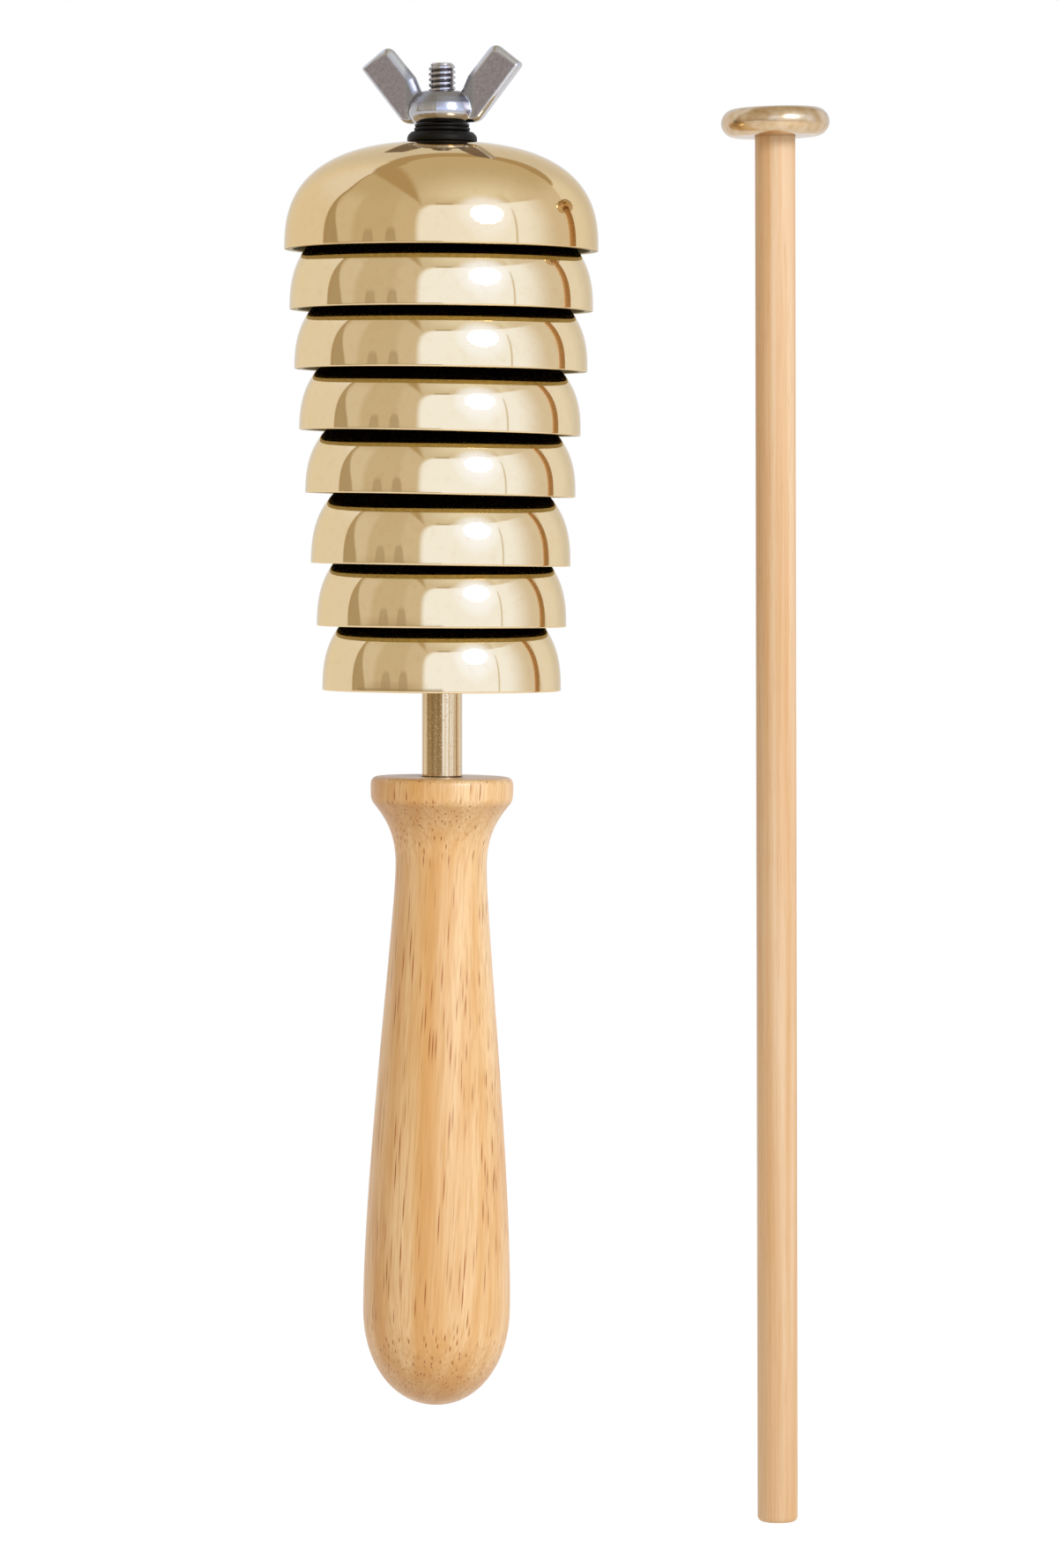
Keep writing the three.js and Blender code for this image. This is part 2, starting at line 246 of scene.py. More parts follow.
def polished_bell_brass():
    """Spun brass, buffed to a mirror: sharp reflections, with the last faint rings of the buff."""
    finish, tree, shader, place = new_finish(
        "polished_bell_brass", Metallic=1.0, Specular_Tint="#f9efdc"
    )
    run = add_node(tree, "ShaderNodeAttribute", attribute_name="run_mm").outputs["Fac"]
    # Patches of paler and deeper gold, about 30 mm across
    patches = add_node(
        tree, "ShaderNodeTexNoise", {"Vector": place, "Scale": 33.0, "Detail": 2.0}
    ).outputs["Fac"]
    pale = add_node(
        tree, "ShaderNodeMix", {0: patches, 6: "#dcc499", 7: "#e2cca5"}, data_type="RGBA"
    ).outputs[2]
    deep = add_node(
        tree, "ShaderNodeMix", {0: patches, 6: "#d8bc8d", 7: "#dec497"}, data_type="RGBA"
    ).outputs[2]
    # The top bell is of a deeper gold
    depth = add_node(tree, "ShaderNodeAttribute", attribute_name="gold_depth").outputs["Fac"]
    gold = add_node(
        tree, "ShaderNodeMix", {0: depth, 6: pale, 7: deep}, data_type="RGBA"
    ).outputs[2]
    # Fingermarks and thin tarnish, in flecks some 2 mm across
    flecks = add_node(
        tree,
        "ShaderNodeTexNoise",
        {"Vector": place, "Scale": 420.0, "Detail": 4.0, "Roughness": 0.7},
    ).outputs["Fac"]
    fleck = add_node(
        tree,
        "ShaderNodeMapRange",
        {"Value": flecks, "From Min": 0.5, "From Max": 0.85, "To Max": 0.3},
    ).outputs[0]
    colour = add_node(
        tree, "ShaderNodeMix", {0: fleck, 6: gold, 7: "#cba376"}, data_type="RGBA"
    ).outputs[2]
    # The buff's rings are some 0.1 mm apart and are drawn at 0.5 mm so that they show at all
    rings = add_node(
        tree,
        "ShaderNodeTexNoise",
        {"W": run, "Scale": 2.2, "Detail": 3.0, "Roughness": 0.65},
        noise_dimensions="1D",
    ).outputs["Fac"]
    haze = add_node(
        tree,
        "ShaderNodeMapRange",
        {"Value": rings, "From Min": 0.3, "From Max": 0.75, "To Min": 0.015, "To Max": 0.06},
    ).outputs[0]
    # Hand spinning leaves the wall very slightly uneven, over some 20 mm
    dents = add_node(
        tree, "ShaderNodeTexNoise", {"Vector": place, "Scale": 48.0, "Detail": 1.0}
    ).outputs["Fac"]
    uneven = add_node(
        tree, "ShaderNodeBump", {"Height": dents, "Strength": 1.0, "Distance": 0.06 * MM}
    ).outputs[0]
    bump = add_node(
        tree,
        "ShaderNodeBump",
        {"Height": rings, "Strength": 0.4, "Distance": 0.005 * MM, "Normal": uneven},
    ).outputs[0]
    set_inputs(shader, {"Base Color": colour, "Roughness": haze, "Normal": bump})
    return finish


def cut_rim_brass():
    """The bells' trimmed edge: bare brass with a fine file finish, browner than the buffed wall.

    The file's marks are about 1 mm across.
    """
    colours, hazes = ("#7d6a36", "#c2ae6e"), (0.35, 0.55)
    return mottled_finish("cut_rim_brass", 900.0, 3.0, colours, hazes, Metallic=1.0)[0]


def shaded_bell_inside():
    """The unpolished inside of a spun bell. Its near-black colour is painted shade, for the dark
    hollow between the nested bells.

    Its blotches are some 7 mm across.
    """
    colours, hazes = ("#140d08", "#2c2014"), (0.45, 0.7)
    return mottled_finish("shaded_bell_inside", 140.0, 4.0, colours, hazes, Metallic=0.0)[0]


def moulded_black_nylon():
    """Moulded nylon sleeve: black, smooth and slightly waxy, with flow marks of some 2 mm."""
    colours, hazes = ("#1b1b1d", "#2b2b2e"), (0.3, 0.45)
    return mottled_finish("moulded_black_nylon", 500.0, 3.0, colours, hazes, Metallic=0.0)[0]


def moulded_black_rubber():
    """Moulded rubber: near black, with a soft sheen and the fine grain of its mould."""
    # Dust lies on it in spots some 2 mm across
    finish, tree, shader, place = mottled_finish(
        "moulded_black_rubber",
        420.0,
        4.0,
        ("#060505", "#0e0d0c"),
        (0.38, 0.6),
        Metallic=0.0,
        Specular_IOR_Level=0.16,
        Specular_Tint="#fff1de",
    )
    # The mould's grain is about 0.4 mm wide
    grain = add_node(
        tree, "ShaderNodeTexNoise", {"Vector": place, "Scale": 2600.0, "Detail": 3.0}
    ).outputs["Fac"]
    bump = add_node(
        tree, "ShaderNodeBump", {"Height": grain, "Strength": 0.4, "Distance": 0.05 * MM}
    ).outputs[0]
    set_inputs(shader, {"Normal": bump})
    return finish


def nickel_plated_casting():
    """Die-cast zinc with bright nickel plate: it mirrors, but the casting's skin ripples below."""
    finish, tree, shader, place = new_finish("nickel_plated_casting", Metallic=1.0)
    # The skin's grain is about 0.7 mm wide, on ripples of some 4 mm
    skin = add_node(
        tree, "ShaderNodeTexNoise", {"Vector": place, "Scale": 1500.0, "Detail": 4.0}
    ).outputs["Fac"]
    ripple = add_node(
        tree, "ShaderNodeTexNoise", {"Vector": place, "Scale": 260.0, "Detail": 2.0}
    ).outputs["Fac"]
    grain = add_node(tree, "ShaderNodeAttribute", attribute_name="cast_grain").outputs["Fac"]
    plate = add_node(
        tree, "ShaderNodeMix", {0: skin, 6: "#b2b1b4", 7: "#c8c7c9"}, data_type="RGBA"
    ).outputs[2]
    dulled = add_node(
        tree, "ShaderNodeMix", {0: skin, 6: "#79747a", 7: "#b4adb3"}, data_type="RGBA"
    ).outputs[2]
    worn = add_node(
        tree, "ShaderNodeMix", {0: grain, 6: plate, 7: dulled}, data_type="RGBA"
    ).outputs[2]
    # The hub is darker and duller than the wings, most of all on its dome
    darkening = add_node(tree, "ShaderNodeAttribute", attribute_name="hub_darkening").outputs["Fac"]
    colour = add_node(
        tree, "ShaderNodeMix", {0: darkening, 6: worn, 7: "#7c7d84"}, data_type="RGBA"
    ).outputs[2]
    dullness = add_node(
        tree, "ShaderNodeMath", {0: grain, 1: darkening}, operation="ADD"
    ).outputs[0]
    haze = add_node(
        tree,
        "ShaderNodeMapRange",
        {"Value": dullness, "From Max": 1.2, "To Min": 0.08, "To Max": 0.4},
    ).outputs[0]
    roughened = add_node(
        tree, "ShaderNodeMapRange", {"Value": grain, "To Min": 0.1, "To Max": 0.8}
    ).outputs[0]
    fine = add_node(
        tree, "ShaderNodeBump", {"Height": skin, "Strength": roughened, "Distance": 0.04 * MM}
    ).outputs[0]
    coarse = add_node(
        tree,
        "ShaderNodeBump",
        {"Height": ripple, "Strength": 0.2, "Distance": 0.08 * MM, "Normal": fine},
    ).outputs[0]
    set_inputs(shader, {"Base Color": colour, "Roughness": haze, "Normal": coarse})
    return finish


def zinc_plated_steel():
    """Rolled thread and stamped washer with bright zinc plate: pale, slightly milky reflections."""
    finish, tree, shader, place = new_finish("zinc_plated_steel", Metallic=1.0)
    # The zinc's bloom is in spots of some 1.5 mm
    bloom = add_node(
        tree, "ShaderNodeTexNoise", {"Vector": place, "Scale": 700.0, "Detail": 4.0}
    ).outputs["Fac"]
    zinc = add_node(
        tree, "ShaderNodeMix", {0: bloom, 6: "#979293", 7: "#c6c1c1"}, data_type="RGBA"
    ).outputs[2]
    # Painted shade darkens the roots of the thread, but not its cut end
    across = add_node(
        tree, "ShaderNodeVectorMath", {0: place, 1: (1.0, 1.0, 0.0)}, operation="MULTIPLY"
    ).outputs[0]
    reach = add_node(
        tree, "ShaderNodeVectorMath", {0: across}, operation="LENGTH"
    ).outputs["Value"]
    root = add_node(
        tree,
        "ShaderNodeMapRange",
        {"Value": reach, "From Min": 2.92 * MM, "From Max": 2.66 * MM, "To Max": 0.85},
    ).outputs[0]
    height = add_node(tree, "ShaderNodeSeparateXYZ", {0: place}).outputs[2]
    below_end = add_node(
        tree,
        "ShaderNodeMapRange",
        {"Value": height, "From Min": (ROD_TOP - 0.9) * MM, "From Max": (ROD_TOP - 1.2) * MM},
    ).outputs[0]
    painted_groove_shade = add_node(
        tree, "ShaderNodeMath", {0: root, 1: below_end}, operation="MULTIPLY"
    ).outputs[0]
    colour = add_node(
        tree, "ShaderNodeMix", {0: painted_groove_shade, 6: zinc, 7: "#3c3735"}, data_type="RGBA"
    ).outputs[2]
    haze = add_node(
        tree, "ShaderNodeMapRange", {"Value": bloom, "To Min": 0.1, "To Max": 0.26}
    ).outputs[0]
    set_inputs(shader, {"Base Color": colour, "Roughness": haze})
    return finish


def brass_plated_tube_steel():
    """Drawn steel tube, thinly plated with brass: mirror bands along it, and pinholes in it."""
    finish, tree, shader, place = new_finish("brass_plated_tube_steel", Metallic=1.0)
    # The die's marks run along the tube, some 0.6 mm wide and 70 mm long
    along = add_node(
        tree, "ShaderNodeMapping", {"Vector": place, "Scale": (1700.0, 1700.0, 14.0)}
    ).outputs[0]
    marks = add_node(
        tree, "ShaderNodeTexNoise", {"Vector": along, "Scale": 1.0, "Detail": 2.0}
    ).outputs["Fac"]
    mark = add_node(
        tree, "ShaderNodeMapRange", {"Value": marks, "From Min": 0.35, "From Max": 0.7}
    ).outputs[0]
    plate = add_node(
        tree, "ShaderNodeMix", {0: mark, 6: "#e3cba6", 7: "#b99664"}, data_type="RGBA"
    ).outputs[2]
    # Pinholes about 0.3 mm wide
    pits = add_node(
        tree, "ShaderNodeTexNoise", {"Vector": place, "Scale": 3200.0, "Detail": 1.0}
    ).outputs["Fac"]
    holes = add_node(
        tree, "ShaderNodeMapRange", {"Value": pits, "From Min": 0.64, "From Max": 0.74}
    ).outputs[0]
    pinholed = add_node(
        tree, "ShaderNodeMix", {0: holes, 6: plate, 7: "#a3855a"}, data_type="RGBA"
    ).outputs[2]
    # A thin dark band on the tube, just above where it enters the wood
    height = add_node(tree, "ShaderNodeSeparateXYZ", {0: place}).outputs[2]
    corner = add_node(
        tree,
        "ShaderNodeMapRange",
        {
            "Value": height,
            "From Min": (HANDLE_TOP + 0.35) * MM,
            "From Max": (HANDLE_TOP + 0.2) * MM,
            "To Max": 0.9,
        },
    ).outputs[0]
    colour = add_node(
        tree, "ShaderNodeMix", {0: corner, 6: pinholed, 7: "#33261a"}, data_type="RGBA"
    ).outputs[2]
    haze = add_node(
        tree, "ShaderNodeMapRange", {"Value": marks, "To Min": 0.03, "To Max": 0.1}
    ).outputs[0]
    drawn = add_node(
        tree, "ShaderNodeBump", {"Height": marks, "Strength": 0.35, "Distance": 0.03 * MM}
    ).outputs[0]
    pitted = add_node(
        tree,
        "ShaderNodeBump",
        {"Height": holes, "Strength": 0.35, "Distance": 0.03 * MM, "Normal": drawn},
        invert=True,
    ).outputs[0]
    set_inputs(shader, {"Base Color": colour, "Roughness": haze, "Normal": pitted})
    return finish


def turned_head_brass():
    """Solid brass off the lathe, rubbed but not buffed: soft reflections smeared by tool rings."""
    finish, tree, shader, place = new_finish("turned_head_brass", Metallic=1.0)
    run = add_node(tree, "ShaderNodeAttribute", attribute_name="run_mm").outputs["Fac"]
    # Rubbing has mottled it in patches of some 2 mm
    patches = add_node(
        tree, "ShaderNodeTexNoise", {"Vector": place, "Scale": 450.0, "Detail": 3.0}
    ).outputs["Fac"]
    mottled = add_node(
        tree, "ShaderNodeMapRange", {"Value": patches, "From Min": 0.35, "From Max": 0.65}
    ).outputs[0]
    colour = add_node(
        tree, "ShaderNodeMix", {0: mottled, 6: "#c1a47d", 7: "#cfb797"}, data_type="RGBA"
    ).outputs[2]
    # The tool's rings are 0.3 mm apart
    rings = add_node(
        tree,
        "ShaderNodeTexNoise",
        {"W": run, "Scale": 3.3, "Detail": 2.0},
        noise_dimensions="1D",
    ).outputs["Fac"]
    haze = add_node(
        tree, "ShaderNodeMapRange", {"Value": rings, "To Min": 0.13, "To Max": 0.3}
    ).outputs[0]
    bump = add_node(
        tree, "ShaderNodeBump", {"Height": rings, "Strength": 0.3, "Distance": 0.03 * MM}
    ).outputs[0]
    set_inputs(shader, {"Base Color": colour, "Roughness": haze, "Normal": bump})
    return finish


def lacquered_handle_wood():
    """Rubberwood, turned, sanded and lacquered: honey blond, with open pores as reddish dashes
    along the grain, which are dots where the turning cuts across it."""
    finish, tree, shader, place = new_finish(
        "lacquered_handle_wood", Metallic=0.0, Coat_Weight=0.28, Coat_Roughness=0.28
    )
    # The grain runs up the handle, a few degrees off its axis
    tilt = (math.radians(3), math.radians(-3), 0)
    grain = add_node(tree, "ShaderNodeMapping", {"Vector": place, "Rotation": tilt}).outputs[0]
    # Bands of growth some 7 mm wide, and fibres of 0.5 mm, both far longer than they are wide
    banded = add_node(
        tree, "ShaderNodeMapping", {"Vector": grain, "Scale": (150.0, 150.0, 9.0)}
    ).outputs[0]
    bands = add_node(
        tree, "ShaderNodeTexNoise", {"Vector": banded, "Scale": 1.0, "Detail": 3.0}
    ).outputs["Fac"]
    drawn_out = add_node(
        tree, "ShaderNodeMapping", {"Vector": grain, "Scale": (1900.0, 1900.0, 70.0)}
    ).outputs[0]
    fibres = add_node(
        tree, "ShaderNodeTexNoise", {"Vector": drawn_out, "Scale": 1.0, "Detail": 3.0}
    ).outputs["Fac"]
    # One pore in each cell, some 0.3 mm wide and 8 mm long
    cells = add_node(
        tree, "ShaderNodeMapping", {"Vector": grain, "Scale": (1400.0, 1400.0, 60.0)}
    ).outputs[0]
    pores = add_node(tree, "ShaderNodeTexVoronoi", {"Vector": cells, "Scale": 1.0}).outputs
    pore = add_node(
        tree,
        "ShaderNodeMapRange",
        {"Value": pores["Distance"], "From Min": 0.33, "From Max": 0.12},
    ).outputs[0]
    # Only some cells hold a pore that is wide enough to see, and these stand in groups
    chance = add_node(tree, "ShaderNodeSeparateColor", {0: pores["Color"]}).outputs[0]
    grouped = add_node(
        tree, "ShaderNodeMath", {0: chance, 1: bands}, operation="SUBTRACT"
    ).outputs[0]
    open_pore = add_node(
        tree, "ShaderNodeMapRange", {"Value": grouped, "From Min": -0.28, "From Max": 0.12}
    ).outputs[0]
    dashes = add_node(
        tree, "ShaderNodeMath", {0: pore, 1: open_pore}, operation="MULTIPLY"
    ).outputs[0]
    band = add_node(
        tree, "ShaderNodeMapRange", {"Value": bands, "From Min": 0.35, "From Max": 0.65}
    ).outputs[0]
    blond = add_node(
        tree, "ShaderNodeMix", {0: band, 6: "#dfad6c", 7: "#f3d3a4"}, data_type="RGBA"
    ).outputs[2]
    fibre = add_node(
        tree,
        "ShaderNodeMapRange",
        {"Value": fibres, "From Min": 0.42, "From Max": 0.72, "To Max": 0.6},
    ).outputs[0]
    fibred = add_node(
        tree, "ShaderNodeMix", {0: fibre, 6: blond, 7: "#cf9955"}, data_type="RGBA"
    ).outputs[2]
    pored = add_node(
        tree, "ShaderNodeMix", {0: dashes, 6: fibred, 7: "#a55c18"}, data_type="RGBA"
    ).outputs[2]
    # Down-facing wood is a deeper orange: partly end grain, which drinks more lacquer, and partly
    # painted shade on the underside
    underside_shade_and_end_grain = add_node(tree, "ShaderNodeAttribute", attribute_name="underside_shade_and_end_grain").outputs["Fac"]
    colour = add_node(
        tree,
        "ShaderNodeMix",
        {0: underside_shade_and_end_grain, 6: pored, 7: "#e5dccb"},
        data_type="RGBA",
        blend_type="MULTIPLY",
    ).outputs[2]
    sheen = add_node(
        tree,
        "ShaderNodeMapRange",
        {"Value": fibres, "From Min": 0.3, "From Max": 0.7, "To Min": 0.36, "To Max": 0.5},
    ).outputs[0]
    bump = add_node(
        tree,
        "ShaderNodeBump",
        {"Height": dashes, "Strength": 0.2, "Distance": 0.03 * MM},
        invert=True,
    ).outputs[0]
    set_inputs(shader, {"Base Color": colour, "Roughness": sheen, "Normal": bump})
    return finish


def sealed_dowel_wood():
    """A birch dowel, sanded and sealed: pale, close-grained, with long faint streaks."""
    finish, tree, shader, place = new_finish("sealed_dowel_wood", Metallic=0.0)
    # Streaks some 2.5 mm wide, and fibres of 0.3 mm
    streaked = add_node(
        tree, "ShaderNodeMapping", {"Vector": place, "Scale": (420.0, 420.0, 6.0)}
    ).outputs[0]
    streaks = add_node(
        tree, "ShaderNodeTexNoise", {"Vector": streaked, "Scale": 1.0, "Detail": 4.0}
    ).outputs["Fac"]
    drawn_out = add_node(
        tree, "ShaderNodeMapping", {"Vector": place, "Scale": (3000.0, 3000.0, 90.0)}
    ).outputs[0]
    fibres = add_node(
        tree, "ShaderNodeTexNoise", {"Vector": drawn_out, "Scale": 1.0, "Detail": 3.0}
    ).outputs["Fac"]
    streak = add_node(
        tree, "ShaderNodeMapRange", {"Value": streaks, "From Min": 0.35, "From Max": 0.65}
    ).outputs[0]
    pale = add_node(
        tree, "ShaderNodeMix", {0: streak, 6: "#d8ad7d", 7: "#e5caa9"}, data_type="RGBA"
    ).outputs[2]
    fibre = add_node(
        tree,
        "ShaderNodeMapRange",
        {"Value": fibres, "From Min": 0.52, "From Max": 0.8, "To Max": 0.5},
    ).outputs[0]
    colour = add_node(
        tree, "ShaderNodeMix", {0: fibre, 6: pale, 7: "#c8985f"}, data_type="RGBA"
    ).outputs[2]
    sheen = add_node(
        tree, "ShaderNodeMapRange", {"Value": fibres, "To Min": 0.4, "To Max": 0.6}
    ).outputs[0]
    bump = add_node(
        tree, "ShaderNodeBump", {"Height": fibres, "Strength": 0.2, "Distance": 0.02 * MM}
    ).outputs[0]
    set_inputs(shader, {"Base Color": colour, "Roughness": sheen, "Normal": bump})
    return finish


BELL_BRASS = polished_bell_brass()
BELL_INSIDE_SHADE = shaded_bell_inside()
BELL_RIM = cut_rim_brass()
RUBBER = moulded_black_rubber()
NICKEL = nickel_plated_casting()
STEEL = zinc_plated_steel()
TUBE_BRASS = brass_plated_tube_steel()
HEAD_BRASS = turned_head_brass()
HANDLE_WOOD = lacquered_handle_wood()
DOWEL_WOOD = sealed_dowel_wood()
NYLON = moulded_black_nylon()


# ---- Pieces


def dome(radius, height, first_height, steps):
    """Points up a bell's dome, from the rim to the flat round its hole."""
    flat_share = (CROWN_FLAT_RADIUS / radius) ** DOME_POWER
    full_height = height / (1 - flat_share) ** (1 / DOME_POWER)
    first = math.asin((first_height / full_height) ** (DOME_POWER / 2))
    last = math.acos(flat_share**0.5)
    angles = [first + (last - first) * i / steps for i in range(steps + 1)]
    return [
        (
            radius * math.cos(angle) ** (2 / DOME_POWER),
            full_height * math.sin(angle) ** (2 / DOME_POWER),
        )
        for angle in angles
    ]


def bell(number, diameter, height, crown):
    """A spun cup bell: mirror outside, dull inside, with a rounded rim."""
    radius = diameter / 2
    straight_rim, outer_steps, inner_steps = 0.5, 30, 20
    outside = dome(radius, height, straight_rim, outer_steps) + [(BELL_HOLE_RADIUS, height)]
    inside = dome(radius - BELL_WALL, height - BELL_WALL, RIM_BAND, inner_steps)
    inside += [(BELL_HOLE_RADIUS, height - BELL_WALL)]
    corners = [(radius - BELL_WALL / 2, 0), (radius, 0, RIM_ROUND), *outside]
    corners += [*reversed(inside), (radius - BELL_WALL, 0, RIM_ROUND / 2)]
    bm = turned([(corner[0], corner[1] - height, *corner[2:]) for corner in corners], steps=128)
    depth = bm.verts.layers.float.new("gold_depth")
    for vert in bm.verts:
        vert[depth] = float(number == 1)
    finishes = [BELL_BRASS, BELL_INSIDE_SHADE, BELL_RIM]
    mid_wall = radius - BELL_WALL / 2
    for face in bm.faces:
        middle = face.calc_center_median() / MM
        reach = math.hypot(middle.x, middle.y)
        level = (max(middle.z + height, 0) / (height - BELL_WALL / 2)) ** DOME_POWER
        is_inside = (reach / mid_wall) ** DOME_POWER + level < 1 and middle.z < -BELL_WALL / 2
        if middle.z + height < RIM_BAND and reach < radius - RIM_ROUND * 0.7:
            face.material_index = finishes.index(BELL_RIM)
        elif is_inside:
            # The inside takes the near-black painted shade
            face.material_index = finishes.index(BELL_INSIDE_SHADE)
    return settled(
        bm,
        f"bell_shell_{number}",
        f"bell_{number}",
        finishes,
        [f"bell_{number}"],
        crown,
    )


def grommet(number, crown):
    """A rubber grommet: two flanges with a groove that the bell's crown sits in."""
    bore, neck, face, wide = 3.475, 5.5, 7.3, 8.25
    upper, flange, edge = 0.2, 2.3, 1.05
    lower = -BELL_WALL - upper
    corners = [
        (bore, lower - flange),
        (face, lower - flange, 0.3),
        (wide, lower - flange + edge, 0.5),
        (wide, lower, 0.25),
        (neck, lower),
        (neck, upper),
        (wide, upper, 0.25),
        (wide, upper + flange - edge, 0.5),
        (face, upper + flange, 0.3),
        (bore, upper + flange),
    ]
    return settled(
        turned(corners, steps=64),
        f"grommet_rubber_{number}",
        f"bell_{number}",
        [RUBBER],
        [f"grommet_{number}"],
        crown,
    )


def sleeve(node, edge, finish):
    """A plain tube or washer on the rod, with its outer edges rounded."""
    low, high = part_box(node)
    radius = (high.x - low.x) / 2 / MM
    foot, top = low.z / MM, high.z / MM
    corners = [(ROD_BORE, foot), (radius, foot, edge), (radius, top, edge), (ROD_BORE, top)]
    bm = turned(corners, steps=64)
    return evened(
        settled(bm, f"{node}_turned", "handle_and_spindle", [finish], [node])
    )


def nut_washer():
    """The rubber washer under the nut, with two rounded lips."""
    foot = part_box("nut_washer")[0].z / MM
    corners = [
        (ROD_BORE, foot),
        (6.6, foot, 0.3),
        (6.6, foot + 0.8, 0.3),
        (6.15, foot + 0.95),
        (6.45, foot + 1.1, 0.2),
        (6.45, foot + 1.7, 0.25),
        (ROD_BORE, foot + 1.7),
    ]
    bm = turned(corners, steps=64)
    return settled(bm, "nut_washer_rubber", "nut_washer", [RUBBER], ["nut_washer"])


def handle():
    """The turned handle: domed butt, long taper, cove and collar, bored for the tube and rod."""
    length, radius, neck, neck_height = 148.0, 17.35, 10.75, 127.0
    socket, socket_depth = 5.2, 51.2
    rise, power, butt_steps = 23.0, 2.1, 24
    corners = []
    for i in range(butt_steps):
        angle = i / butt_steps * math.pi / 2
        corners.append(
            (
                radius * math.sin(angle) ** (2 / power),
                rise * (1 - math.cos(angle) ** (2 / power)),
            )
        )
    taper = neck_height - rise
    belly = interpolate_bezier(
        Vector((radius, rise)),
        Vector((radius, rise + taper * 0.31)),
        Vector((neck, neck_height - taper * 0.115)),
        Vector((neck, neck_height)),
        28,
    )
    collar, collar_foot = 16.75, length - 5.6
    cove_rise, cove_reach = collar_foot - neck_height, collar - neck
    cove = interpolate_bezier(
        Vector((neck, neck_height)),
        Vector((neck, neck_height + cove_rise * 0.49)),
        Vector((neck + cove_reach * 0.41, neck_height + cove_rise * 0.73)),
        Vector((collar, collar_foot)),
        16,
    )
    corners += [tuple(point) for point in belly + cove[1:-1]]
    corners += [(collar, collar_foot, 1.1), (collar + 0.1, length - 2.6), (collar, length, 1.5)]
    corners += [(socket, length, 0.25), (socket, length - socket_depth)]
    corners += [(0, length - socket_depth)]
    corners = [(corner[0], corner[1] - length, *corner[2:]) for corner in corners]
    bm = turned(corners, steps=96)
    # The butt cuts across the grain, the more so the further it turns under; its deeper colour
    # there is partly end grain and partly painted underside shade
    bmesh.ops.recalc_face_normals(bm, faces=bm.faces)
    bm.normal_update()
    underside_shade_and_end_grain = bm.verts.layers.float.new("underside_shade_and_end_grain")
    for vert in bm.verts:
        vert[underside_shade_and_end_grain] = min(max(-vert.normal.z - 0.2, 0) / 0.5, 1)
    return evened(
        settled(
            bm,
            "handle_turned",
            "handle_and_spindle",
            [HANDLE_WOOD],
            ["handle"],
            upright(0, HANDLE_TOP, HANDLE_LEAN),
            sharp=50,
        )
    )


def spindle_rod():
    """The rod: a plain shank inside the stack and a rolled thread with a bevelled end."""
    crest, root, bevel, shank = 3.175, 2.62, 0.8, 3.1
    section = [
        (root, -0.08),
        (root, 0.08),
        (crest - 0.07, 0.37),
        (crest, 0.43),
        (crest, 0.84),
        (crest - 0.07, 0.9),
        (root, THREAD_PITCH - 0.08),
    ]
    steps_a_turn = 40
    turns = math.ceil((ROD_TOP - THREAD_FOOT) / THREAD_PITCH) + 3
    bm = bmesh.new()
    start = THREAD_FOOT - 2 * THREAD_PITCH
    points = [bm.verts.new((r * MM, 0, (start + z) * MM)) for r, z in section]
    for pair in zip(points, points[1:]):
        bm.edges.new(pair)
    bmesh.ops.spin(
        bm,
        geom=bm.verts[:] + bm.edges[:],
        cent=(0, 0, 0),
        axis=(0, 0, 1),
        dvec=(0, 0, THREAD_PITCH * MM / steps_a_turn),
        angle=FULL_TURN * turns,
        steps=steps_a_turn * turns,
    )
    bmesh.ops.remove_doubles(bm, verts=bm.verts, dist=0.005 * MM)
    for height, above in ((THREAD_FOOT, False), (ROD_TOP, True)):
        bmesh.ops.bisect_plane(
            bm,
            geom=bm.verts[:] + bm.edges[:] + bm.faces[:],
            plane_co=(0, 0, height * MM),
            plane_no=(0, 0, 1),
            clear_outer=above,
            clear_inner=not above,
        )
    # The bevel of the end
    for vert in bm.verts:
        reach = math.hypot(vert.co.x, vert.co.y)
        limit = (crest - bevel) * MM + ROD_TOP * MM - vert.co.z
        if reach > limit:
            vert.co.x *= limit / reach
            vert.co.y *= limit / reach
    bmesh.ops.holes_fill(bm, edges=[edge for edge in bm.edges if edge.is_boundary])
    shank_top = THREAD_FOOT + 0.5
    bmesh.ops.create_cone(
        bm,
        cap_ends=True,
        segments=48,
        radius1=shank * MM,
        radius2=shank * MM,
        depth=(shank_top - ROD_FOOT) * MM,
        matrix=Matrix.Translation((0, 0, (shank_top + ROD_FOOT) / 2 * MM)),
    )
    return settled(
        bm,
        "spindle_rod_threaded",
        "handle_and_spindle",
        [STEEL],
        ["spindle_rod"],
        sharp=40,
    )


